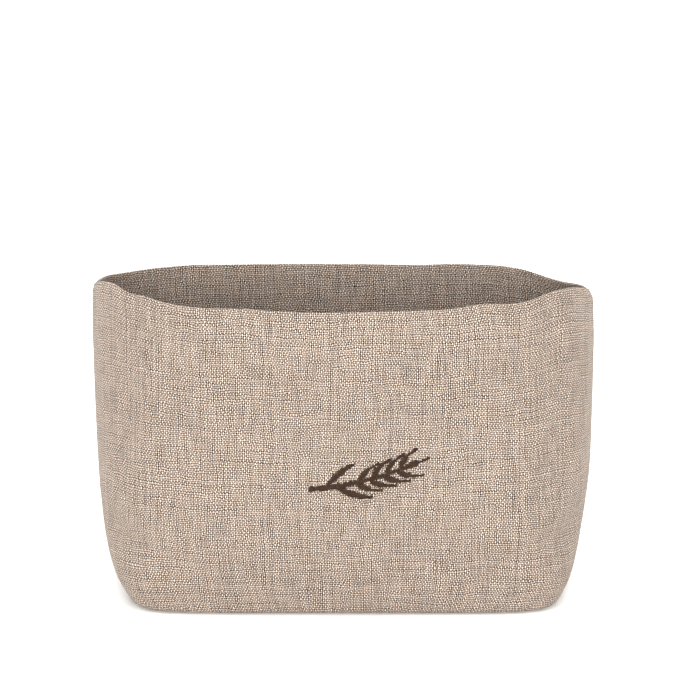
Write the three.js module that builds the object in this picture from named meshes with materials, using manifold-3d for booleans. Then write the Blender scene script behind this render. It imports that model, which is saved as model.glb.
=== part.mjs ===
// A linen bread bag that stands open on a boxed base. It is sewn from two panels of doubled linen,
// one in front and one behind, that meet at a seam down the middle of each side and at a seam
// across the base. Millimetres, +Z up, the front towards -Y, the table at Z = 0.
import * as THREE from 'three';
import { LoftGeometry } from 'three/addons/geometries/LoftGeometry.js';
import { mergeGeometries, mergeVertices } from 'three/addons/utils/BufferGeometryUtils.js';
import Module from 'manifold-3d';

// Driving dimensions
const WALL_HEIGHT = 196; // from the table up to the rim, before its rises and dips
const CLOTH = 2.2; // two layers of linen and the air between them
const BASE_FOLD = 5; // outer radius of the soft fold round the base
const SEAM_GAP = 0.3; // between the two panels, all along their seams
const PANEL_WIDTH = 400; // of each panel, measured round the bag from seam to seam

// The bag's outline at rising heights: how far the cloth reaches from the middle of the seams to
// the left, right, front and back, and how square the front and back corners are. A squareness of
// 2 is an ellipse, and 8 is nearly a rectangle.
const FORM = [
  { height: 0, left: 134, right: 133.5, front: 79, back: 67, frontSquare: 10, backSquare: 10 },
  { height: 18, left: 144.7, right: 143.5, front: 83, back: 62, frontSquare: 6.4, backSquare: 7 },
  { height: 42, left: 152.2, right: 149.8, front: 87, back: 58, frontSquare: 4.5, backSquare: 5 },
  { height: 75, left: 156.4, right: 154.5, front: 90, back: 56, frontSquare: 3.5, backSquare: 4 },
  { height: 115, left: 158.4, right: 156.5, front: 92, back: 55, frontSquare: 3, backSquare: 3.4 },
  { height: 152, left: 158.7, right: 157, front: 95, back: 56, frontSquare: 2.7, backSquare: 3.1 },
  { height: 180, left: 158.6, right: 156.1, front: 98, back: 58, frontSquare: 2.6, backSquare: 3 },
  { height: 190, left: 158.1, right: 155.3, front: 99, back: 59, frontSquare: 2.6, backSquare: 3 },
  { height: 196, left: 156.9, right: 152.2, front: 99, back: 60, frontSquare: 2.6, backSquare: 3 },
];

// Places round the bag run from 0 at the left seam, over the front to 1 at the right seam, and
// over the back to 2, which is the left seam again.
const ROUND = 2;

// Where the rim stands up in soft peaks at the corners, and where it dips.
const RIM_RISES = [
  { at: 0, spread: 0.05, rise: -1 },
  { at: 0.14, spread: 0.08, rise: 8.8 },
  { at: 0.176, spread: 0.024, rise: -3 },
  { at: 0.46, spread: 0.15, rise: -1.3 },
  { at: 0.845, spread: 0.065, rise: 6.9 },
  { at: 1, spread: 0.06, rise: -4.2 },
  { at: 1.1, spread: 0.075, rise: -7.6 },
  { at: 1.5, spread: 0.3, rise: -1 },
  { at: 1.9, spread: 0.08, rise: -2.2 },
];

// Soft troughs (out below 0) and ridges (out above 0), each from one place and height to another.
const FOLDS = [
  { from: 0.15, fromHeight: 54, to: 0.28, toHeight: 24, width: 13, out: -3.6 }, // front left corner
  { from: 0.85, fromHeight: 50, to: 0.71, toHeight: 22, width: 13, out: -3.4 }, // the front right one
  { from: 1.15, fromHeight: 54, to: 1.28, toHeight: 24, width: 12, out: -3.4 }, // back right corner
  { from: 1.86, fromHeight: 50, to: 1.73, toHeight: 22, width: 13, out: -3.2 }, // back left corner
  { from: 0.19, fromHeight: 200, to: 0.17, toHeight: 96, width: 9, out: -1.6 }, // inside the peaks
  { from: 0.81, fromHeight: 200, to: 0.83, toHeight: 84, width: 10, out: -1.8 },
  { from: 0.35, fromHeight: 170, to: 0.33, toHeight: 70, width: 24, out: 1.4 }, // across the front
  { from: 0.64, fromHeight: 150, to: 0.66, toHeight: 50, width: 22, out: -1.2 },
  { from: 1.38, fromHeight: 196, to: 1.42, toHeight: 90, width: 20, out: -3 }, // across the back
  { from: 1.66, fromHeight: 160, to: 1.6, toHeight: 40, width: 24, out: 2.2 },
  { from: 0.99, fromHeight: 150, to: 1.01, toHeight: 70, width: 12, out: -1.2 }, // down the sides
  { from: 2.01, fromHeight: 130, to: 1.985, toHeight: 60, width: 12, out: -1 },
];

// The steps of the mesh: along a panel from seam to seam, and up the wall above the base fold.
const PANEL_STEPS = [
  { end: 0.08, steps: 3 },
  { end: 0.26, steps: 10 },
  { end: 0.74, steps: 16 },
  { end: 0.92, steps: 10 },
  { end: 1, steps: 3 },
];
const WALL_STEPS = [
  { end: 66, steps: 8 },
  { end: 176, steps: 10 },
  { end: WALL_HEIGHT - CLOTH / 2, steps: 4 },
];
const FOLD_STEPS = 3; // round the base fold
const RIM_STEPS = 4; // round the folded edge at the rim
const OUTLINE_DIVISIONS = 400; // along a panel's outline, to measure out even lengths of cloth
const FOLDS_FULL_AT = 2 * BASE_FOLD; // height from which the folds have their full depth
const RISE_POWER = 2; // how late on the way up the wall the rim's rises begin
const LINEN = { color: '#beac9e', roughness: 0.95, metalness: 0 };

// Values that rise in the given bands, each in even steps, without the start itself.
function steppedValues(start, bands) {
  const values = [];
  let low = start;
  for (const { end, steps } of bands) {
    for (let step = 1; step <= steps; step += 1) {
      values.push(THREE.MathUtils.lerp(low, end, step / steps));
    }
    low = end;
  }
  return values;
}

// A number that changes smoothly with height through FORM's rows.
function formAt(name, height) {
  const above = FORM.findIndex((row) => row.height >= height);
  const upper = above === -1 ? FORM.length - 1 : Math.max(above, 1);
  const lower = upper - 1;
  const slope = (index) => {
    const before = FORM[Math.max(index - 1, 0)];
    const after = FORM[Math.min(index + 1, FORM.length - 1)];
    return (after[name] - before[name]) / (after.height - before.height);
  };
  const span = FORM[upper].height - FORM[lower].height;
  const t = (height - FORM[lower].height) / span;
  const fromLower = (2 * t ** 3 - 3 * t ** 2 + 1) * FORM[lower][name];
  const fromUpper = (3 * t ** 2 - 2 * t ** 3) * FORM[upper][name];
  const lowerSlope = (t ** 3 - 2 * t ** 2 + t) * span * slope(lower);
  const upperSlope = (t ** 3 - t ** 2) * span * slope(upper);
  return fromLower + fromUpper + lowerSlope + upperSlope;
}

// One panel's edge seen from above, from the left seam to the right seam: half a superellipse.
class PanelOutline extends THREE.Curve {
  constructor(panel, height, inset) {
    super();
    this.arcLengthDivisions = OUTLINE_DIVISIONS;
    this.left = formAt('left', height) - inset;
    this.right = formAt('right', height) - inset;
    this.reach = formAt(panel, height) - inset;
    this.square = formAt(`${panel}Square`, height);
    this.facing = panel === 'front' ? -1 : 1;
  }

  getPoint(t, target = new THREE.Vector3()) {
    const across = -Math.cos(Math.PI * t);
    const outward = Math.sin(Math.PI * t);
    const side = across < 0 ? this.left : this.right;
    const sideShare = Math.abs(across / side) ** this.square;
    const outShare = Math.abs(outward / this.reach) ** this.square;
    const radius = (sideShare + outShare) ** (-1 / this.square);
    return target.set(across * radius, this.facing * outward * radius, 0);
  }
}

// How far the rim stands above or below WALL_HEIGHT at a place round the bag.
function rimRise(place) {
  let rise = 0;
  for (const peak of RIM_RISES) {
    const away = Math.abs(place - peak.at);
    const nearest = Math.min(away, ROUND - away);
    rise += peak.rise * Math.exp(-((nearest / peak.spread) ** 2));
  }
  return rise;
}

// How far the folds push the cloth outwards at a place and height.
function foldDepth(place, height) {
  let depth = 0;
  for (const fold of FOLDS) {
    const start = new THREE.Vector3(fold.from * PANEL_WIDTH, fold.fromHeight, 0);
    const end = new THREE.Vector3(fold.to * PANEL_WIDTH, fold.toHeight, 0);
    const line = new THREE.Line3(start, end);
    for (const turn of [-ROUND, 0, ROUND]) {
      const point = new THREE.Vector3((place + turn) * PANEL_WIDTH, height, 0);
      const nearest = line.closestPointToPoint(point, true, new THREE.Vector3());
      depth += fold.out * Math.exp(-((point.distanceTo(nearest) / fold.width) ** 2));
    }
  }
  return depth;
}

// The closed ring of points round the bag at one height. The inset runs in from the outer face.
function ring({ height, inset }) {
  const points = [];
  const fade = THREE.MathUtils.smoothstep(height, CLOTH, FOLDS_FULL_AT);
  const lift = (Math.max(height - CLOTH, 0) / (WALL_HEIGHT - CLOTH)) ** RISE_POWER;
  for (const panel of ['front', 'back']) {
    const outline = new PanelOutline(panel, height, inset);
    for (const along of steppedValues(0, PANEL_STEPS)) {
      const share = panel === 'front' ? along : 1 - along;
      const place = panel === 'front' ? along : 1 + along;
      const point = outline.getPointAt(share);
      const tangent = outline.getTangentAt(share).multiplyScalar(panel === 'front' ? 1 : -1);
      const outwards = new THREE.Vector3(tangent.y, -tangent.x, 0);
      point.addScaledVector(outwards, fade * foldDepth(place, height));
      point.z = height + lift * rimRise(place);
      points.push(point);
    }
  }
  return points;
}

// The way through the cloth: in from under the base, round its fold and up the outside, over the
// folded edge at the rim, and down the inside to the floor of the bag.
function clothRoute() {
  const outside = [{ height: 0, inset: BASE_FOLD }];
  const inside = [{ height: CLOTH, inset: BASE_FOLD }];
  for (let step = 1; step <= FOLD_STEPS; step += 1) {
    const turn = ((Math.PI / 2) * step) / FOLD_STEPS;
    const inner = BASE_FOLD - CLOTH;
    outside.push({
      height: BASE_FOLD * (1 - Math.cos(turn)),
      inset: BASE_FOLD * (1 - Math.sin(turn)),
    });
    inside.push({
      height: BASE_FOLD - inner * Math.cos(turn),
      inset: BASE_FOLD - inner * Math.sin(turn),
    });
  }
  for (const height of steppedValues(BASE_FOLD, WALL_STEPS)) {
    outside.push({ height, inset: 0 });
    inside.push({ height, inset: CLOTH });
  }
  const rim = [];
  for (let step = 1; step < RIM_STEPS; step += 1) {
    const turn = (Math.PI * step) / RIM_STEPS;
    rim.push({
      height: WALL_HEIGHT - (CLOTH / 2) * (1 - Math.sin(turn)),
      inset: (CLOTH / 2) * (1 - Math.cos(turn)),
    });
  }
  return [...outside, ...rim, ...inside.reverse()];
}

// The whole bag as one skin of cloth, closed by the underside and the floor of its flat base, and
// moved so that the middle of its outline is over the origin.
function bagShell() {
  const rings = clothRoute().map(ring);
  const walls = new LoftGeometry(rings, { capStart: true });
  const floor = new THREE.ShapeGeometry(new THREE.Shape(rings.at(-1)));
  floor.translate(0, 0, CLOTH);
  const shell = mergeGeometries([walls, floor]);
  shell.deleteAttribute('normal');
  shell.deleteAttribute('uv');
  shell.computeBoundingBox();
  const middle = shell.boundingBox.getCenter(new THREE.Vector3());
  shell.translate(-middle.x, -middle.y, 0);
  return { shell: mergeVertices(shell), seamY: -middle.y };
}

// A block that holds all of the bag on one side of the seams.
function panelBlock(facing, seamY) {
  const size = PANEL_WIDTH;
  const block = new THREE.BoxGeometry(size, size, 2 * size);
  block.translate(0, seamY + facing * (size / 2 + SEAM_GAP / 2), 0);
  block.deleteAttribute('normal');
  block.deleteAttribute('uv');
  return mergeVertices(block);
}

const wasm = await Module();
wasm.setup();

function solidFrom(geometry) {
  const vertProperties = geometry.getAttribute('position').array;
  const triVerts = new Uint32Array(geometry.index.array);
  return new wasm.Manifold(new wasm.Mesh({ numProp: 3, vertProperties, triVerts }));
}

function geometryFrom(solid) {
  const { vertProperties, triVerts } = solid.getMesh();
  const geometry = new THREE.BufferGeometry();
  geometry.setAttribute('position', new THREE.BufferAttribute(vertProperties, 3));
  geometry.setIndex(new THREE.BufferAttribute(triVerts, 1));
  geometry.computeVertexNormals();
  return geometry;
}

// A panel is the part of the shell on its side of the seams, with its half of the base.
function panelMesh(name, facing, { shell, seamY }) {
  const half = solidFrom(shell).intersect(solidFrom(panelBlock(facing, seamY)));
  const mesh = new THREE.Mesh(geometryFrom(half), new THREE.MeshStandardMaterial(LINEN));
  mesh.name = name;
  return mesh;
}

const cloth = bagShell();
const bag = new THREE.Group();
bag.add(panelMesh('front_panel', -1, cloth));
bag.add(panelMesh('back_panel', 1, cloth));

export default bag;
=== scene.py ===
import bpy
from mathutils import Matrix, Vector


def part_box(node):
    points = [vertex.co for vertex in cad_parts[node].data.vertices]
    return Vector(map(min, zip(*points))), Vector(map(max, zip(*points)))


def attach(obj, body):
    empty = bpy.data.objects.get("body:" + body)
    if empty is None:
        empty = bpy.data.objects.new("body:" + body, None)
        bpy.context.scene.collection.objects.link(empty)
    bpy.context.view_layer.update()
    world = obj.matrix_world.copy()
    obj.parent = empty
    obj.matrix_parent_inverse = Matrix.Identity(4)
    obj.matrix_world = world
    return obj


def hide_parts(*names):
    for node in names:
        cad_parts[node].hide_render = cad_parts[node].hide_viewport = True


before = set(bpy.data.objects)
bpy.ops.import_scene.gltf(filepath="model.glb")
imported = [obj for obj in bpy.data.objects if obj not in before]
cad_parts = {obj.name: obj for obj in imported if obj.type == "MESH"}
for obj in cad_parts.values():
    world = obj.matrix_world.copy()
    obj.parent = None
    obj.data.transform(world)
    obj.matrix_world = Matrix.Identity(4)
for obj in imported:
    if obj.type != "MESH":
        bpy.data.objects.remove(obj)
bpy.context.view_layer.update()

# The two panels
# Each panel is one length of natural linen in plain weave, folded double, with the fold as its
# rim. It makes one long side of the bag, half of each end and half of the base. The two are sewn
# together down the middle of each end and across the base, and the base's ends are boxed.
import math
import random
from collections import namedtuple

import bmesh
import bpy
import numpy as np
from mathutils import Vector, noise

MM = 0.001  # a millimetre in metres: the bag's sizes are in millimetres until a mesh is placed
CLOTH = 2.2  # two layers of linen and the air between them
HALF = CLOTH / 2
WALL_HEIGHT = 196.0  # from the table up to the rim, before its rises and dips
BASE_FOLD = 5.0  # outer radius of the soft fold round the base
FOLD_MIDDLE = BASE_FOLD - HALF  # radius of the middle of the cloth in that fold
FOLD_LENGTH = FOLD_MIDDLE * math.pi / 2
TOP = FOLD_LENGTH + WALL_HEIGHT - HALF - BASE_FOLD  # up the cloth, from the base to the rim's fold
RISE_POWER = 2  # how late on the way up the wall the rim's rises begin
PANEL_SCALE = 400.0  # millimetres of cloth to one place, where folds are set out
SEAM_GAP = 0.3  # between the two panels
SEAM_ROLL = 3.0  # how far from a seam the cloth begins to turn into it
BOX_SEAM_SHARE = 0.35  # of the cloth's thickness left in the groove at the base's ends

# The bag's outline at rising heights: how far the cloth reaches from the middle of the seams, and
# how square its corners are (2 is an ellipse, and 8 is nearly a rectangle).
Level = namedtuple("Level", "height left right front back front_square back_square")
LEVELS = (
    Level(0, 134, 133.5, 79, 67, 8, 9),
    Level(18, 144.7, 143.5, 83, 62, 6.4, 7),
    Level(42, 152.2, 149.8, 87, 58, 4.5, 5),
    Level(75, 156.4, 154.5, 90, 56, 3.5, 4),
    Level(115, 158.4, 156.5, 92, 55, 3, 3.4),
    Level(152, 158.7, 157, 95, 56, 2.7, 3.1),
    Level(180, 158.6, 156.1, 98, 58, 2.6, 3),
    Level(190, 158.1, 155.3, 99, 59, 2.6, 3),
    Level(196, 156.9, 152.2, 99, 60, 2.6, 3),
)

# Places round the bag run from 0 at the left seam, over the front to 1 at the right seam, and over
# the back to 2, which is the left seam again.
ROUND = 2.0
Peak = namedtuple("Peak", "at spread rise")
RIM_RISES = (
    Peak(0, 0.05, -1),
    Peak(0.14, 0.08, 8.8),
    Peak(0.176, 0.024, -3),
    Peak(0.36, 0.05, 1.4),
    Peak(0.46, 0.15, -1.3),
    Peak(0.7, 0.04, 2.2),
    Peak(0.845, 0.065, 6.1),
    Peak(1, 0.06, -4.2),
    Peak(1.1, 0.075, -7.6),
    Peak(1.5, 0.3, -1),
    Peak(1.9, 0.08, -2.2),
)

# Soft troughs (out below 0) and ridges (out above 0), each along a line on the cloth.
Fold = namedtuple("Fold", "start start_height end end_height width out")
FOLDS = (
    Fold(0.15, 54, 0.28, 24, 13, -3.6),
    Fold(0.85, 50, 0.71, 22, 13, -3.4),
    Fold(1.15, 54, 1.28, 24, 12, -3.4),
    Fold(1.86, 50, 1.73, 22, 13, -3.2),
    Fold(0.19, 200, 0.17, 96, 9, -1.6),
    Fold(0.81, 200, 0.83, 84, 10, -1.8),
    Fold(0.35, 170, 0.33, 70, 24, 1.4),
    Fold(0.64, 150, 0.66, 50, 22, -1.2),
    Fold(1.38, 196, 1.42, 90, 20, -3),
    Fold(1.66, 160, 1.6, 40, 24, 2.2),
    Fold(0.99, 150, 1.01, 70, 12, -1.2),
    Fold(2.01, 130, 1.985, 60, 12, -1),
)
CREASES = (
    Fold(0.105, 196, 0.115, 120, 5, 0.7),
    Fold(0.1, 60, 0.2, 40, 6, -1.3),
    Fold(0.17, 44, 0.3, 14, 6, 1.1),
    Fold(0.24, 120, 0.2, 62, 9, 0.6),
    Fold(0.3, 60, 0.37, 20, 8, -0.5),
    Fold(0.45, 190, 0.47, 120, 12, -0.5),
    Fold(0.55, 60, 0.5, 14, 12, 0.5),
    Fold(0.62, 40, 0.69, 12, 7, 0.5),
    Fold(0.76, 110, 0.79, 64, 8, 0.6),
    Fold(0.82, 42, 0.7, 12, 6, 1.0),
    Fold(0.9, 190, 0.885, 110, 5, 0.7),
    Fold(0.9, 62, 0.8, 40, 6, -1.2),
    Fold(1.08, 120, 1.12, 60, 7, 0.7),
    Fold(1.2, 190, 1.18, 100, 8, -0.8),
    Fold(1.3, 90, 1.36, 30, 9, 0.6),
    Fold(1.5, 150, 1.53, 70, 14, -0.9),
    Fold(1.72, 190, 1.76, 110, 9, -0.8),
    Fold(1.8, 80, 1.74, 36, 7, 0.6),
    Fold(1.93, 130, 1.9, 70, 7, 0.7),
)

# Slack of the cloth: waves of a few centimetres, and small puckers where a seam draws it in.
Slack = namedtuple("Slack", "wide tall depth seed")
SLACKS = (Slack(60, 75, 0.9, 3.1), Slack(22, 30, 0.35, 11.7), Slack(9, 11, 0.09, 23.9))
PUCKER_EVERY = 7.0
PUCKER_REACH = 12.0
PUCKER_DEPTH = 0.5
PUCKER_SEED = 5.3
RIM_WAVE = 30.0
RIM_WAVE_HEIGHT = 0.35
RIM_WAVE_SEEDS = (0.5, 7.7)

# How wide each panel is, how far from its seams the base's corners come, and the steps of its mesh:
# from a seam to a corner, and below those that both panels share.
Panel = namedtuple("Panel", "name facing width corner side_steps")
PANELS = (Panel("front", -1, 424.0, 77.0, 44), Panel("back", 1, 376.0, 61.0, 36))
SEAM_STEPS = 5
LONG_STEPS = 170
FOLD_STEPS = 6
WALL_STEPS = 122
RIM_STEPS = 8
OUTLINE_STEPS = 600
WELD = 0.01  # points closer than this, where the grids of a panel meet, become one


def form_at(name, height):
    """One of a level's numbers at any height, changing smoothly from level to level."""
    heights = [level.height for level in LEVELS]
    values = [getattr(level, name) for level in LEVELS]
    slopes = []
    for index in range(len(LEVELS)):
        low, high = max(index - 1, 0), min(index + 1, len(LEVELS) - 1)
        slopes.append((values[high] - values[low]) / (heights[high] - heights[low]))
    upper = min(max(int(np.searchsorted(heights, height)), 1), len(LEVELS) - 1)
    lower = upper - 1
    span = heights[upper] - heights[lower]
    t = (height - heights[lower]) / span
    value = (2 * t**3 - 3 * t**2 + 1) * values[lower] + (3 * t**2 - 2 * t**3) * values[upper]
    value += (t**3 - 2 * t**2 + t) * span * slopes[lower] + (t**3 - t**2) * span * slopes[upper]
    return value


def smooth(value, low, high):
    """0 below low, 1 above high, and an even curve between them."""
    t = np.clip((value - low) / (high - low), 0, 1)
    return t * t * (3 - 2 * t)


def outline(panel, height, inset, shares):
    """Points on a level line round a panel, at shares of its length, and the way out at each."""
    turn = np.linspace(0, math.pi, OUTLINE_STEPS)
    across, outward = -np.cos(turn), np.sin(turn)
    side = np.where(across < 0, form_at("left", height), form_at("right", height)) - inset
    reach = form_at(panel.name, height) - inset
    square = form_at(panel.name + "_square", height)
    radius = (np.abs(across / side) ** square + np.abs(outward / reach) ** square) ** (-1 / square)
    line = np.stack([across * radius, panel.facing * outward * radius], 1)
    walked = np.concatenate([[0], np.cumsum(np.linalg.norm(np.diff(line, axis=0), axis=1))])
    along = np.gradient(line, walked, axis=0)
    at = shares * walked[-1]
    points = np.stack([np.interp(at, walked, line[:, axis]) for axis in (0, 1)], 1)
    ahead = np.stack([np.interp(at, walked, along[:, axis]) for axis in (0, 1)], 1)
    ahead /= np.linalg.norm(ahead, axis=1)[:, None]
    return points, panel.facing * np.stack([-ahead[:, 1], ahead[:, 0]], 1)


def rim_rise(places):
    """How far the rim stands above or below WALL_HEIGHT at places round the bag."""
    rise = np.zeros_like(places)
    for peak in RIM_RISES:
        away = np.abs(places - peak.at)
        rise += peak.rise * np.exp(-((np.minimum(away, ROUND - away) / peak.spread) ** 2))
    for index, place in enumerate(places):
        spot = Vector((place * PANEL_SCALE / RIM_WAVE, *RIM_WAVE_SEEDS))
        rise[index] += RIM_WAVE_HEIGHT * noise.noise(spot)
    return rise


def fold_depth(places, height):
    """How far the folds and creases push the cloth outwards at places on one level."""
    depth = np.zeros_like(places)
    for fold in FOLDS + CREASES:
        start = np.array([fold.start * PANEL_SCALE, fold.start_height])
        line = np.array([fold.end * PANEL_SCALE, fold.end_height]) - start
        for turn in (-ROUND, 0, ROUND):
            spot = np.stack([(places + turn) * PANEL_SCALE, np.full_like(places, height)], 1)
            spot -= start
            share = np.clip(spot @ line / (line @ line), 0, 1)
            away = np.linalg.norm(spot - share[:, None] * line, axis=1)
            depth += fold.out * np.exp(-((away / fold.width) ** 2))
    return depth


def slack_depth(places, height, from_seam):
    """How far the cloth's own waves and the puckers beside the seams push it outwards."""
    depth = np.zeros_like(places)
    for index, place in enumerate(places):
        # A turn round a circle, so that the waves meet again at the left seam.
        turn = place * math.pi
        x, y = math.cos(turn) * PANEL_SCALE / math.pi, math.sin(turn) * PANEL_SCALE / math.pi
        for slack in SLACKS:
            spot = Vector((x / slack.wide, y / slack.wide, height / slack.tall + slack.seed))
            depth[index] += slack.depth * noise.noise(spot)
        drawn_in = math.exp(-((from_seam[index] / PUCKER_REACH) ** 2))
        pucker = noise.noise(Vector((x / PANEL_SCALE, height / PUCKER_EVERY, PUCKER_SEED)))
        depth[index] += PUCKER_DEPTH * drawn_in * pucker
    return depth


def column_spots(panel):
    """Where the mesh's columns are, in millimetres from the left seam, close together at seams."""
    roll = SEAM_ROLL * (1 - np.cos(np.linspace(0, math.pi / 2, SEAM_STEPS + 1)))
    side = np.linspace(SEAM_ROLL, panel.corner, panel.side_steps + 1)[1:]
    left = np.concatenate([roll, side])
    long_side = np.linspace(panel.corner, panel.width - panel.corner, LONG_STEPS + 1)[1:-1]
    return np.concatenate([left, long_side, panel.width - left[::-1]])


def rolled(distance, least):
    """The share of the cloth's thickness that is left near a seam, where it rolls in."""
    near = np.clip(distance / SEAM_ROLL, 0, 1)
    return least + (1 - least) * np.sqrt(1 - (1 - near) ** 2)


def thickness_left(panel, spots, rise):
    """The share of the thickness at each column: less at the side seams and the base's ends."""
    from_seam = np.minimum(spots, panel.width - spots)
    past_corner = np.maximum(from_seam - panel.corner, 0)
    return rolled(from_seam, 0) * rolled(np.hypot(past_corner, rise), BOX_SEAM_SHARE)


def cloth_row(panel, spots, rise, turn):
    """A row of points round a panel. rise is how far up the cloth it is from the base, and turn
    which side of the cloth it is on: 0 outside, pi inside, and between them over the rim."""
    angle = min(rise / FOLD_MIDDLE, math.pi / 2)
    height = BASE_FOLD - FOLD_MIDDLE * math.cos(angle) + max(rise - FOLD_LENGTH, 0)
    inset = BASE_FOLD - FOLD_MIDDLE * math.sin(angle)
    shares = spots / panel.width
    places = shares if panel.name == "front" else ROUND - shares
    middle, outwards = outline(panel, height, inset, shares)
    from_seam = np.minimum(spots, panel.width - spots)
    depth = fold_depth(places, height) + slack_depth(places, height, from_seam)
    depth *= smooth(height, CLOTH, 2 * BASE_FOLD)
    half = HALF * thickness_left(panel, spots, rise)
    out = half * math.cos(turn)
    lift = (max(height - CLOTH, 0) / (WALL_HEIGHT - CLOTH)) ** RISE_POWER
    level = middle + outwards * (depth + out * math.sin(angle))[:, None]
    up = height - out * math.cos(angle) + half * math.sin(turn) + lift * rim_rise(places)
    return np.column_stack([level, up])


def base_half(panel, spots, ring, side):
    """One face of a panel's half of the base, inside the ring where its fold starts. Row 0 is that
    ring's long side, and the last row is the base seam. side is -1 underneath and 1 above."""
    corner = SEAM_STEPS + panel.side_steps
    left, right = ring[corner::-1, :2], ring[-1 - corner :, :2]
    front = ring[corner : len(ring) - corner, :2]
    s = ((front[:, 0] - front[0, 0]) / (front[-1, 0] - front[0, 0]))[None, :, None]
    t = ((left[:, 1] - left[0, 1]) / (left[-1, 1] - left[0, 1]))[:, None, None]
    seam = (1 - s) * left[-1] + s * right[-1]
    corners = (1 - t) * ((1 - s) * front[0] + s * front[-1]) + t * seam
    level = (1 - s) * left[:, None] + s * right[:, None]
    level += (1 - t) * front[None]
    level += t * seam
    level -= corners
    from_seam = spots[corner::-1][:, None]
    from_end = np.minimum(spots - panel.corner, panel.width - panel.corner - spots)
    from_end = from_end[corner : len(spots) - corner][None, :]
    left_over = rolled(from_seam, 0) * rolled(from_end, BOX_SEAM_SHARE)
    return np.dstack([level, HALF + side * HALF * left_over])


def lay_grid(mesh, points, cloth):
    """Adds a grid of cloth to a mesh, its vertices laid at points (in metres), and its UV map the
    place of each on the flat cloth (in millimetres)."""
    rows, columns = points.shape[:2]
    made = bmesh.ops.create_grid(mesh, x_segments=columns - 1, y_segments=rows - 1, size=1)
    flat = mesh.loops.layers.uv.verify()
    spot = {}
    # A new grid runs from -1 to 1 both ways.
    for vertex in made["verts"]:
        column = round((vertex.co.x + 1) / 2 * (columns - 1))
        row = round((vertex.co.y + 1) / 2 * (rows - 1))
        vertex.co = points[row, column]
        spot[vertex] = cloth[row, column]
    for face in {face for vertex in made["verts"] for face in vertex.link_faces}:
        for loop in face.loops:
            loop[flat].uv = spot[loop.vert]


def panel_surfaces(panel):
    """A panel's wall, underside and floor as grids of points, with their places on the cloth."""
    spots = column_spots(panel)
    fold = np.linspace(0, FOLD_LENGTH, FOLD_STEPS, endpoint=False)
    rises = np.concatenate([fold, np.linspace(FOLD_LENGTH, TOP, WALL_STEPS + 1)])
    turns = np.linspace(0, math.pi, RIM_STEPS + 1)[1:-1]
    outside = [(rise, 0) for rise in rises]
    inside = [(rise, math.pi) for rise in rises[::-1]]
    rows = outside + [(TOP, turn) for turn in turns] + inside
    wall = np.array([cloth_row(panel, spots, rise, turn) for rise, turn in rows])
    round_rim = TOP + HALF * math.pi
    lengths = np.concatenate([rises, TOP + HALF * turns, round_rim + TOP - rises[::-1]])
    corner = SEAM_STEPS + panel.side_steps
    depths = panel.corner - spots[corner::-1]
    base_spots = spots[corner : len(spots) - corner]
    underside = base_half(panel, spots, wall[0], -1)
    floor = base_half(panel, spots, wall[-1], 1)
    return (
        (wall, np.dstack(np.meshgrid(spots, lengths))),
        (underside, np.dstack(np.meshgrid(base_spots, -depths))),
        (floor, np.dstack(np.meshgrid(base_spots, lengths[-1] + depths))),
    )


def put_in_scene(name, data):
    """Makes an object of a mesh, a lamp or a camera, and links it to the scene."""
    made = bpy.data.objects.new(name, data)
    bpy.context.scene.collection.objects.link(made)
    return made


def to_linear(colour):
    """An sRGB hex colour as the linear colour that a shader takes."""
    parts = [int(colour[index : index + 2], 16) / 255 for index in (1, 3, 5)]
    return [p / 12.92 if p <= 0.04045 else ((p + 0.055) / 1.055) ** 2.4 for p in parts] + [1]


def bare_material(name):
    """A new material whose nodes are still to be added."""
    material = bpy.data.materials.new(name)
    material.use_nodes = True
    material.node_tree.nodes.clear()
    return material


def add_node(tree, kind, inputs=(), **settings):
    """Adds a shader node with its settings. inputs are values, or nodes or sockets to link from, by
    name or in order. A Mix node's go by number: 0 is its factor, 2 and 3 are the two values that it
    mixes, and 6 and 7 are the two colours, which it gives out at 2."""
    node = tree.nodes.new("ShaderNode" + kind)
    for name, value in settings.items():
        setattr(node, name, value)
    for socket, value in inputs.items() if isinstance(inputs, dict) else enumerate(inputs):
        if isinstance(value, bpy.types.Node):
            value = value.outputs[0]
        if isinstance(value, bpy.types.NodeSocket):
            tree.links.new(value, node.inputs[socket])
        else:
            node.inputs[socket].default_value = value
    return node


# Undyed flax yarn, spun uneven and woven plain: matt, with a soft sheen where it is seen along the
# surface. The threads that run up the bag lie on top a shade lighter than those that cross them,
# and all of them swell and thin out. Painted shade darkens each thread where it rounds off and dips
# under the next, down to near black in the pinholes between them.
WARP_SPACING = 1.02  # from thread to thread, in millimetres, as all lengths here are
WEFT_SPACING = 1.306
WANDER = 3.0  # how far the threads bend aside together, and over what length
WANDER_LENGTH = 35
STRAY = 1.3  # how far a thread strays beside the next, and the width and length of such places
STRAY_WIDTH = 4.5
STRAY_LENGTH = 6
UNEVEN_PLACE = 0.2  # the range in which a whole thread lies out of its place, in spacings
THREAD_LEAST = 0.39  # a thread's least width, and how much it swells from that, in spacings
THREAD_SWELL = 0.54
SWELL_LENGTH = 14
CRIMP = 0.284  # how much of the relief is the weave's waves, and not the threads' own roundness
SHADE_LEAST = 0.746  # from the dark shade of linen, 0, to the light one, 1
SHADE_OF_THREAD = 0.163  # how much the shade differs from thread to thread, and along a thread
SHADE_ALONG = 0.132
SHADE_LENGTH = 35
SHADE_OF_WARP = 0.6  # how much lighter the warp is than the mean, and the weft darker
SHADE_OF_CROSSING = 0.174  # how much the shade differs from crossing to crossing
PINHOLE_HEIGHT = 0.56  # the relief where the painted shade is darkest, as in a pinhole, and where a thread is free of it
THREAD_HEIGHT = 0.88
RELIEF = 0.3
LANE_STEP = 7.31  # how far apart in the noise two threads' draws lie, so that they differ
WEFT_START = 40.7  # how far the weft's draws lie from the warp's
SHADE_STEP = 1.7  # how many times as far apart the draws for the shade lie
FIBRES = 9  # loose fibres to a millimetre
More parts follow.
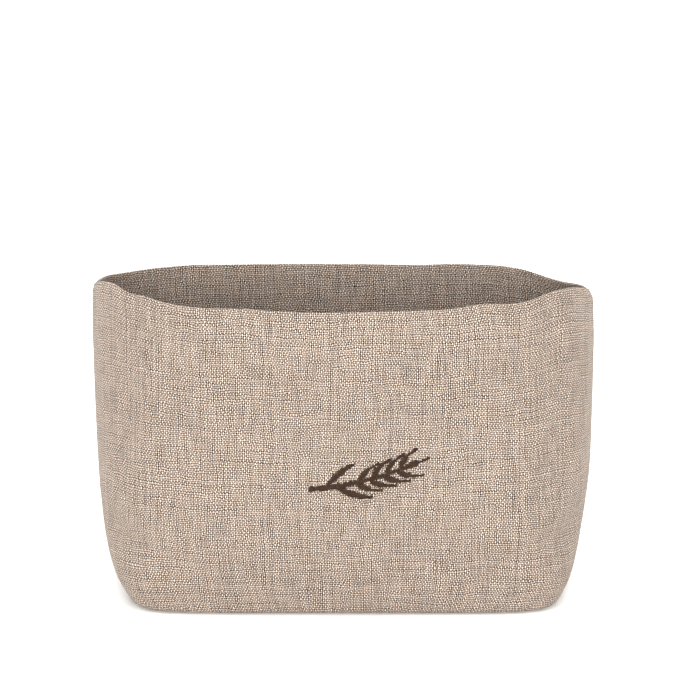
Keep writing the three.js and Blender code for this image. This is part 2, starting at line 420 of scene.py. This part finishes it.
FIBRE_RELIEF = 0.12  # to 1 for the threads
ROUGHNESS_LEAST = 0.76
ROUGHNESS_OF_FIBRES = 0.2
LINEN_DARK = "#857060"
LINEN_LIGHT = "#d4c2b3"
# Painted shade: the near-black colour of the pinholes and of the threads' dips and edges.
LINEN_PAINTED_GAP_SHADE = "#0a0503"
LINEN_SHEEN = "#f2e6d8"


def natural_linen():
    """Plain weave worked out thread by thread from the cloth's own UV map, in millimetres."""
    material = bare_material("undyed_flax_plain_weave")
    tree = material.node_tree
    flat = add_node(tree, "UVMap", uv_map="cloth")

    # The threads wander: slowly from straight lines, and by a hair from one another.
    wander = add_node(
        tree,
        "TexNoise",
        {"Vector": flat, "Scale": 1 / WANDER_LENGTH, "Detail": 0},
        noise_dimensions="2D",
    )
    stray = []
    for wide, tall in ((STRAY_WIDTH, STRAY_LENGTH), (STRAY_LENGTH, STRAY_WIDTH)):
        spot = add_node(tree, "VectorMath", (flat, (1 / wide, 1 / tall, 1)), operation="MULTIPLY")
        stray.append(
            add_node(
                tree, "TexNoise", {"Vector": spot, "Scale": 1, "Detail": 0}, noise_dimensions="2D"
            )
        )
    slow = add_node(
        tree,
        "VectorMath",
        (wander.outputs["Color"], (WANDER, WANDER, 0), flat),
        operation="MULTIPLY_ADD",
    )
    quick = add_node(tree, "CombineXYZ", stray)
    place = add_node(tree, "VectorMath", (quick, (STRAY, STRAY, 0), slow), operation="MULTIPLY_ADD")
    threads = add_node(
        tree, "VectorMath", (place, (WARP_SPACING, WEFT_SPACING, 1)), operation="DIVIDE"
    )
    number = add_node(tree, "VectorMath", (threads,), operation="FLOOR")
    past = add_node(tree, "VectorMath", (threads,), operation="FRACTION")
    offset = add_node(tree, "VectorMath", (past, (0.5, 0.5, 0)), operation="SUBTRACT")
    along = add_node(tree, "SeparateXYZ", (place,))
    numbers = add_node(tree, "SeparateXYZ", (number,))
    offsets = add_node(tree, "SeparateXYZ", (offset,))

    # At each crossing it is the warp's turn to lie on top, or the weft's.
    crossing = add_node(tree, "Math", (numbers.outputs[0], numbers.outputs[1]), operation="ADD")
    half_turns = add_node(tree, "Math", (crossing, math.pi), operation="MULTIPLY")
    warp_over = add_node(tree, "Math", (half_turns,), operation="COSINE")
    weft_over = add_node(tree, "Math", (warp_over, -1.0), operation="MULTIPLY")

    # Each thread has its own place, thickness and shade, and the last two change along it.
    heights, shades = [], []
    for own, other, over in ((0, 1, warp_over), (1, 0, weft_over)):
        lane = add_node(
            tree,
            "Math",
            (numbers.outputs[own], LANE_STEP, WEFT_START * own),
            operation="MULTIPLY_ADD",
        )
        own_draw = add_node(tree, "TexWhiteNoise", {"W": lane}, noise_dimensions="1D")
        spot = add_node(tree, "CombineXYZ", (lane, along.outputs[other]))
        changes = []
        for step, length in ((1, SWELL_LENGTH), (SHADE_STEP, SHADE_LENGTH)):
            stretched = add_node(
                tree, "VectorMath", (spot, (step, 1 / length, 0)), operation="MULTIPLY"
            )
            changes.append(
                add_node(
                    tree,
                    "TexNoise",
                    {"Vector": stretched, "Scale": 1, "Detail": 0},
                    noise_dimensions="2D",
                )
            )
        slub, dye = changes
        aside = add_node(
            tree, "Math", (own_draw, UNEVEN_PLACE, offsets.outputs[own]), operation="MULTIPLY_ADD"
        )
        centred = add_node(tree, "Math", (aside, UNEVEN_PLACE / 2), operation="SUBTRACT")
        half_width = add_node(
            tree, "Math", (slub, THREAD_SWELL / 2, THREAD_LEAST / 2), operation="MULTIPLY_ADD"
        )
        spread = add_node(tree, "Math", (centred, half_width), operation="DIVIDE")
        dropped = add_node(tree, "Math", (spread, spread), operation="MULTIPLY")
        left = add_node(tree, "Math", (1, dropped), operation="SUBTRACT", use_clamp=True)
        roundness = add_node(tree, "Math", (left,), operation="SQRT")
        turn = add_node(tree, "Math", (offsets.outputs[other], math.pi), operation="MULTIPLY")
        wave = add_node(tree, "Math", (turn,), operation="COSINE")
        crimp = add_node(tree, "Math", (wave, over), operation="MULTIPLY")
        heights.append(add_node(tree, "Mix", {0: CRIMP, 2: roundness, 3: crimp}))
        own_shade = add_node(tree, "Math", (own_draw, SHADE_OF_THREAD), operation="MULTIPLY")
        shades.append(
            add_node(tree, "Math", (dye, SHADE_ALONG, own_shade), operation="MULTIPLY_ADD")
        )

    # What shows is the higher thread, in its own tone. Painted shade darkens it where it rounds off
    # and dips under the next, down to near black in a pinhole where both are low.
    height = add_node(tree, "Math", heights, operation="MAXIMUM")
    on_top = add_node(tree, "Math", heights, operation="GREATER_THAN")
    warp_lift = add_node(
        tree,
        "Math",
        (on_top, 2 * SHADE_OF_WARP, SHADE_LEAST - SHADE_OF_WARP),
        operation="MULTIPLY_ADD",
    )
    top_shade = add_node(tree, "Mix", {0: on_top, 2: shades[1], 3: shades[0]})
    lifted = add_node(tree, "Math", (top_shade, warp_lift), operation="ADD")
    own_crossing = add_node(tree, "TexWhiteNoise", {"Vector": number}, noise_dimensions="2D")
    crossing_shade = add_node(
        tree,
        "Math",
        (own_crossing, SHADE_OF_CROSSING, -SHADE_OF_CROSSING / 2),
        operation="MULTIPLY_ADD",
    )
    shade = add_node(tree, "Math", (lifted, crossing_shade), operation="ADD")
    thread = add_node(
        tree,
        "Mix",
        {0: shade, 6: to_linear(LINEN_DARK), 7: to_linear(LINEN_LIGHT)},
        data_type="RGBA",
    )
    # Painted shade: the lower the relief, the nearer the colour comes to near black.
    painted_gap_shade_mix = add_node(
        tree,
        "MapRange",
        {"Value": height, "From Min": PINHOLE_HEIGHT, "From Max": THREAD_HEIGHT},
    )
    colour = add_node(
        tree,
        "Mix",
        {0: painted_gap_shade_mix, 6: to_linear(LINEN_PAINTED_GAP_SHADE), 7: thread.outputs[2]},
        data_type="RGBA",
    )
    fibres = add_node(
        tree, "TexNoise", {"Vector": flat, "Scale": FIBRES, "Detail": 3}, noise_dimensions="2D"
    )
    relief = add_node(tree, "Math", (fibres, FIBRE_RELIEF, height), operation="MULTIPLY_ADD")
    bump = add_node(tree, "Bump", {"Distance": RELIEF * MM, "Height": relief})
    roughness = add_node(
        tree, "Math", (fibres, ROUGHNESS_OF_FIBRES, ROUGHNESS_LEAST), operation="MULTIPLY_ADD"
    )
    shader = add_node(
        tree,
        "BsdfPrincipled",
        {
            "Base Color": colour.outputs[2],
            "Roughness": roughness,
            "Normal": bump,
            "Specular IOR Level": 0.25,
            "Sheen Weight": 0.2,
            "Sheen Roughness": 0.45,
            "Sheen Tint": to_linear(LINEN_SHEEN),
        },
    )
    add_node(tree, "OutputMaterial", (shader,))
    return material


# The panels stand midway between the ends of the two solids, with their seam behind the front one.
linen = natural_linen()
surfaces = {panel: panel_surfaces(panel) for panel in PANELS}
wall_x = np.concatenate([parts[0][0][:, :, 0].ravel() for parts in surfaces.values()])
box_x = [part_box(node)[corner].x for node in ("front_panel", "back_panel") for corner in (0, 1)]
middle_x = (max(box_x) + min(box_x)) / 2 - MM * (wall_x.max() + wall_x.min()) / 2
seam_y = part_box("front_panel")[1].y + MM * SEAM_GAP / 2
to_frame = np.array([middle_x, seam_y, 0])
for panel, parts in surfaces.items():
    mesh = bmesh.new()
    for points, cloth in parts:
        lay_grid(mesh, points * MM + to_frame, cloth)
    bmesh.ops.remove_doubles(mesh, verts=mesh.verts, dist=WELD * MM)
    bmesh.ops.recalc_face_normals(mesh, faces=mesh.faces)
    for face in mesh.faces:
        face.smooth = True
    data = bpy.data.meshes.new(panel.name + "_panel_linen")
    mesh.to_mesh(data)
    mesh.free()
    data.uv_layers[0].name = "cloth"
    data.materials.append(linen)
    piece = put_in_scene(panel.name + "_panel_linen", data)
    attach(piece, "root")
    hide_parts(panel.name + "_panel")

# The ear of wheat
# It is worked on the front panel in dark brown thread, in satin stitch: each stroke is filled with
# short stitches laid side by side across it, which stand a little proud of the linen.
EAR_PLACE = 225.6  # its middle, along the front panel from the left seam
EAR_RISE = 96.0  # its middle, up the cloth from the base
STITCH_SPACING = 1.0
STITCH_WIDTH = 1.15  # of the thread, drawn coarser than it is, so that the stitches show
STITCH_THICKNESS = 0.7
STITCH_ARCH = 0.5  # how much higher the middle of a stitch lies than its ends
STITCH_SLANT = 0.35  # how far a stitch leans along its stroke, to one across it
STITCH_OVERSHOOT = 1.0  # how far, at most, a stitch reaches past the stroke's edge
STITCH_STRAY = 0.12  # how far, at most, a stitch lies off the stroke's middle
STITCH_SEGMENTS, STITCH_RINGS = 8, 7
STITCH_SEED = 11
STROKE_STEPS = 40  # in which a stroke's length is measured
THREAD_BROWN = "#1b110a"
THREAD_BROWN_WORN = "#3d2b1f"

# A stroke bends from its start to its end, and its width swells between them.
Stroke = namedtuple("Stroke", "start bend end width_start width_swell width_end")
STEM = Stroke((-35, -10.5), (-8, -9), (23, 3), 3.2, 3.0, 2.4)
LEAVES = (
    Stroke((-25, -9.8), (-17, 1.5), (-7, 5.6), 1.6, 7.0, 1.0),
    Stroke((-18, -8.9), (-8, -15.8), (4, -15.4), 1.6, 6.6, 1.0),
)
GRAIN_FIRST, GRAIN_LAST, GRAIN_PAIRS = 0.52, 0.93, 4
GRAIN_LENGTH = 10.0
GRAIN_TURN = math.radians(36)
GRAIN_WIDTHS = (1.5, 6.4, 0.9)
GRAIN_BELLY = 0.8  # how far a grain bends out
GRAIN_ROOT = 1.1  # from the stem's middle line to where a grain starts
GRAIN_STAGGER = 0.03  # how much farther along the stem the upper grain of a pair starts
AWN_LENGTH = 6.5
AWN_TURN = math.radians(14)
AWN_WIDTHS = (1.3, 1.2, 0.9)


def bend_point(stroke, t):
    """The point and the direction of a stroke's middle line at a share of its way."""
    start, bend, end = (Vector(point) for point in (stroke.start, stroke.bend, stroke.end))
    point = (1 - t) ** 2 * start + 2 * t * (1 - t) * bend + t**2 * end
    return point, ((1 - t) * (bend - start) + t * (end - bend)).normalized()


def turned(direction, angle):
    """A flat direction turned by an angle, anticlockwise."""
    return Vector(
        (
            direction.x * math.cos(angle) - direction.y * math.sin(angle),
            direction.x * math.sin(angle) + direction.y * math.cos(angle),
        )
    )


def grain_and_awn(point, direction, side):
    """A grain that leans out to one side of the stem, and the bristle at its tip."""
    lean = turned(direction, side * GRAIN_TURN)
    tip = point + lean * GRAIN_LENGTH
    belly = point + lean * GRAIN_LENGTH / 2 + turned(lean, math.pi / 2) * side * GRAIN_BELLY
    awn_end = tip + turned(direction, side * AWN_TURN) * AWN_LENGTH
    grain = Stroke(tuple(point), tuple(belly), tuple(tip), *GRAIN_WIDTHS)
    awn = Stroke(tuple(tip), tuple((tip + awn_end) / 2), tuple(awn_end), *AWN_WIDTHS)
    return [grain, awn]


strokes = [STEM, *LEAVES]
for pair in range(GRAIN_PAIRS):
    along = GRAIN_FIRST + (GRAIN_LAST - GRAIN_FIRST) * pair / (GRAIN_PAIRS - 1)
    for side in (-1, 1):
        stem_point, stem_direction = bend_point(STEM, along + GRAIN_STAGGER * (side > 0))
        root = stem_point + turned(stem_direction, side * math.pi / 2) * GRAIN_ROOT
        strokes += grain_and_awn(root, stem_direction, side)
strokes += grain_and_awn(*bend_point(STEM, 1), 0)

front = PANELS[0]
front_wall, front_cloth = surfaces[front][0]
column_marks = front_cloth[0, :, 0]
row_marks = front_cloth[: FOLD_STEPS + WALL_STEPS + 1, 0, 1]


def on_cloth(across, up, out):
    """The point out from the front panel's outer face at a place on its cloth."""
    column = np.interp(across, column_marks, np.arange(len(column_marks)))
    row = np.interp(up, row_marks, np.arange(len(row_marks)))
    left, low = int(column), int(row)
    patch = front_wall[low : low + 2, left : left + 2]
    x, y = column - left, row - low
    bottom = (1 - x) * patch[0, 0] + x * patch[0, 1]
    top = (1 - x) * patch[1, 0] + x * patch[1, 1]
    sideways = patch[0, 1] - patch[0, 0] + patch[1, 1] - patch[1, 0]
    away = np.cross(sideways, top - bottom)
    point = (1 - y) * bottom + y * top + away / np.linalg.norm(away) * out
    return point * MM + to_frame


# Each stroke's stitches are made by themselves and then gathered, because adding to a large mesh is
# slow.
ear_data = bpy.data.meshes.new("wheat_ear_embroidery")
whole_ear = bmesh.new()
chance = random.Random(STITCH_SEED)
for stroke in strokes:
    steps = [bend_point(stroke, step / STROKE_STEPS)[0] for step in range(STROKE_STEPS + 1)]
    length = sum((after - before).length for before, after in zip(steps, steps[1:]))
    count = max(round(length / STITCH_SPACING), 2)
    stitches = bmesh.new()
    stitches.loops.layers.uv.new("thread")
    for number in range(count):
        t = (number + 0.5) / count
        middle, forward = bend_point(stroke, t)
        width = (1 - t) ** 2 * stroke.width_start + 2 * t * (1 - t) * stroke.width_swell
        width += t**2 * stroke.width_end
        crosswise = (turned(forward, math.pi / 2) + forward * STITCH_SLANT).normalized()
        reach = width / 2 + STITCH_OVERSHOOT * chance.random()
        middle = middle + crosswise * chance.uniform(-STITCH_STRAY, STITCH_STRAY)
        ball = bmesh.ops.create_uvsphere(
            stitches,
            u_segments=STITCH_SEGMENTS,
            v_segments=STITCH_RINGS,
            radius=1,
            calc_uvs=True,
        )
        for vertex in ball["verts"]:
            along, flat, out = vertex.co.z, vertex.co.x, vertex.co.y
            spot = middle + crosswise * along * reach + forward * flat * STITCH_WIDTH / 2
            lift = STITCH_ARCH * (1 - along**2) + out * STITCH_THICKNESS / 2
            vertex.co = on_cloth(EAR_PLACE + spot.x, EAR_RISE + spot.y, lift)
    stitches.to_mesh(ear_data)
    stitches.free()
    whole_ear.from_mesh(ear_data)
for face in whole_ear.faces:
    face.smooth = True
bmesh.ops.recalc_face_normals(whole_ear, faces=whole_ear.faces)
whole_ear.to_mesh(ear_data)
whole_ear.free()


# Mercerised cotton thread, dyed dark brown: two plies twisted together, with a soft gloss along
# the top of each stitch, a shade lighter where it has been rubbed.
PLY_STRETCH = (1.0, 3.0, 1.0)  # the plies' stripes come closer along a stitch than round it
PLY_SCALE = 1.2
PLY_RELIEF = 0.06
WORN_PATCHES = 650.0  # to a metre, so one is about 1.5 mm across
ROUGHNESS_BETWEEN_PLIES = 0.5
ROUGHNESS_ON_PLIES = 0.66


def embroidery_thread():
    """Twisted plies as slanting stripes on each stitch's own UV map."""
    material = bare_material("mercerised_cotton_thread")
    tree = material.node_tree
    place = add_node(tree, "UVMap", uv_map="thread")
    spot = add_node(tree, "Mapping", {"Vector": place, "Scale": PLY_STRETCH})
    plies = add_node(
        tree,
        "TexWave",
        {"Vector": spot, "Scale": PLY_SCALE, "Distortion": 0.3},
        bands_direction="DIAGONAL",
    )
    where = add_node(tree, "TexCoord")
    patches = add_node(
        tree, "TexNoise", {"Vector": where.outputs["Object"], "Scale": WORN_PATCHES}
    )
    colour = add_node(
        tree,
        "Mix",
        {0: patches, 6: to_linear(THREAD_BROWN), 7: to_linear(THREAD_BROWN_WORN)},
        data_type="RGBA",
    )
    bump = add_node(tree, "Bump", {"Distance": PLY_RELIEF * MM, "Height": plies})
    roughness = add_node(
        tree,
        "MapRange",
        {"Value": plies, "To Min": ROUGHNESS_BETWEEN_PLIES, "To Max": ROUGHNESS_ON_PLIES},
    )
    shader = add_node(
        tree,
        "BsdfPrincipled",
        {
            "Base Color": colour.outputs[2],
            "Roughness": roughness,
            "Normal": bump,
            "Specular IOR Level": 0.12,
        },
    )
    add_node(tree, "OutputMaterial", (shader,))
    return material


ear_data.materials.append(embroidery_thread())
ear = put_in_scene("wheat_ear_embroidery", ear_data)
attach(ear, "root")

# Table, light and camera
# The bag stands on a white table that runs on into the background, in soft daylight from above
# and in front, with a white screen at each side.
CAMERA_RISE = math.radians(14.5)
CAMERA_DISTANCE = 1.5
AIM_HEIGHT = 0.1  # where the camera and the lamps point, half way up the bag
FOCAL_PIXELS = 2340.0  # the lens, and where its axis meets the picture, in pixels
PICTURE_PIXELS = 700.0
PRINCIPAL_X, PRINCIPAL_Y = 343.5, 426.6
SENSOR = 36.0
TABLE_REACH = 6  # metres from the bag to the table's edge
TABLE_WHITE = "#f7f6f4"
TABLE_ROUGHNESS = 0.9
DAYLIGHT = "#ffffff"
DAYLIGHT_STRENGTH = 0.3
OVERHEAD_SPREAD = math.radians(60)
OVERHEAD_STRENGTH = 4.0

table_mesh = bmesh.new()
bmesh.ops.create_grid(table_mesh, x_segments=1, y_segments=1, size=TABLE_REACH)
table_data = bpy.data.meshes.new("table")
table_mesh.to_mesh(table_data)
table_mesh.free()
paint = bare_material("white_matt_table")
paint_shader = add_node(
    paint.node_tree,
    "BsdfPrincipled",
    {"Base Color": to_linear(TABLE_WHITE), "Roughness": TABLE_ROUGHNESS},
)
add_node(paint.node_tree, "OutputMaterial", (paint_shader,))
table_data.materials.append(paint)
table = put_in_scene("table", table_data)

world = bpy.data.worlds.new("daylight")
bpy.context.scene.world = world
world.use_nodes = True
world.node_tree.nodes["Background"].inputs["Color"].default_value = to_linear(DAYLIGHT)
world.node_tree.nodes["Background"].inputs["Strength"].default_value = DAYLIGHT_STRENGTH

Lamp = namedtuple("Lamp", "name place size energy")
for lamp in (
    Lamp("softbox_in_front", (0, -2.25, 0.6), 1.0, 77.0),
    Lamp("screen_left", (-1.4, 1.15, 0.5), 0.9, 13.0),
    Lamp("screen_right", (1.4, 1.15, 0.5), 0.9, 14.0),
):
    light = bpy.data.lights.new(lamp.name, "AREA")
    light.shape = "SQUARE"
    light.size = lamp.size
    light.energy = lamp.energy
    holder = put_in_scene(lamp.name, light)
    holder.location = lamp.place
    aim = Vector((0, 0, AIM_HEIGHT)) - Vector(lamp.place)
    holder.rotation_euler = aim.to_track_quat("-Z", "Y").to_euler()

overhead = bpy.data.lights.new("softbox_overhead", "SUN")
overhead.angle = OVERHEAD_SPREAD
overhead.energy = OVERHEAD_STRENGTH
put_in_scene("softbox_overhead", overhead)

lens = bpy.data.cameras.new("camera")
lens.sensor_width = SENSOR
lens.lens = FOCAL_PIXELS * SENSOR / PICTURE_PIXELS
lens.shift_x = (PICTURE_PIXELS / 2 - PRINCIPAL_X) / PICTURE_PIXELS
lens.shift_y = (PRINCIPAL_Y - PICTURE_PIXELS / 2) / PICTURE_PIXELS
lens.clip_start = 0.05
camera = put_in_scene("camera", lens)
camera.location = (
    0,
    seam_y - CAMERA_DISTANCE * math.cos(CAMERA_RISE),
    AIM_HEIGHT + CAMERA_DISTANCE * math.sin(CAMERA_RISE),
)
camera.rotation_euler = (math.pi / 2 - CAMERA_RISE, 0, 0)
bpy.context.scene.camera = camera
bpy.context.scene.view_settings.view_transform = "Standard"
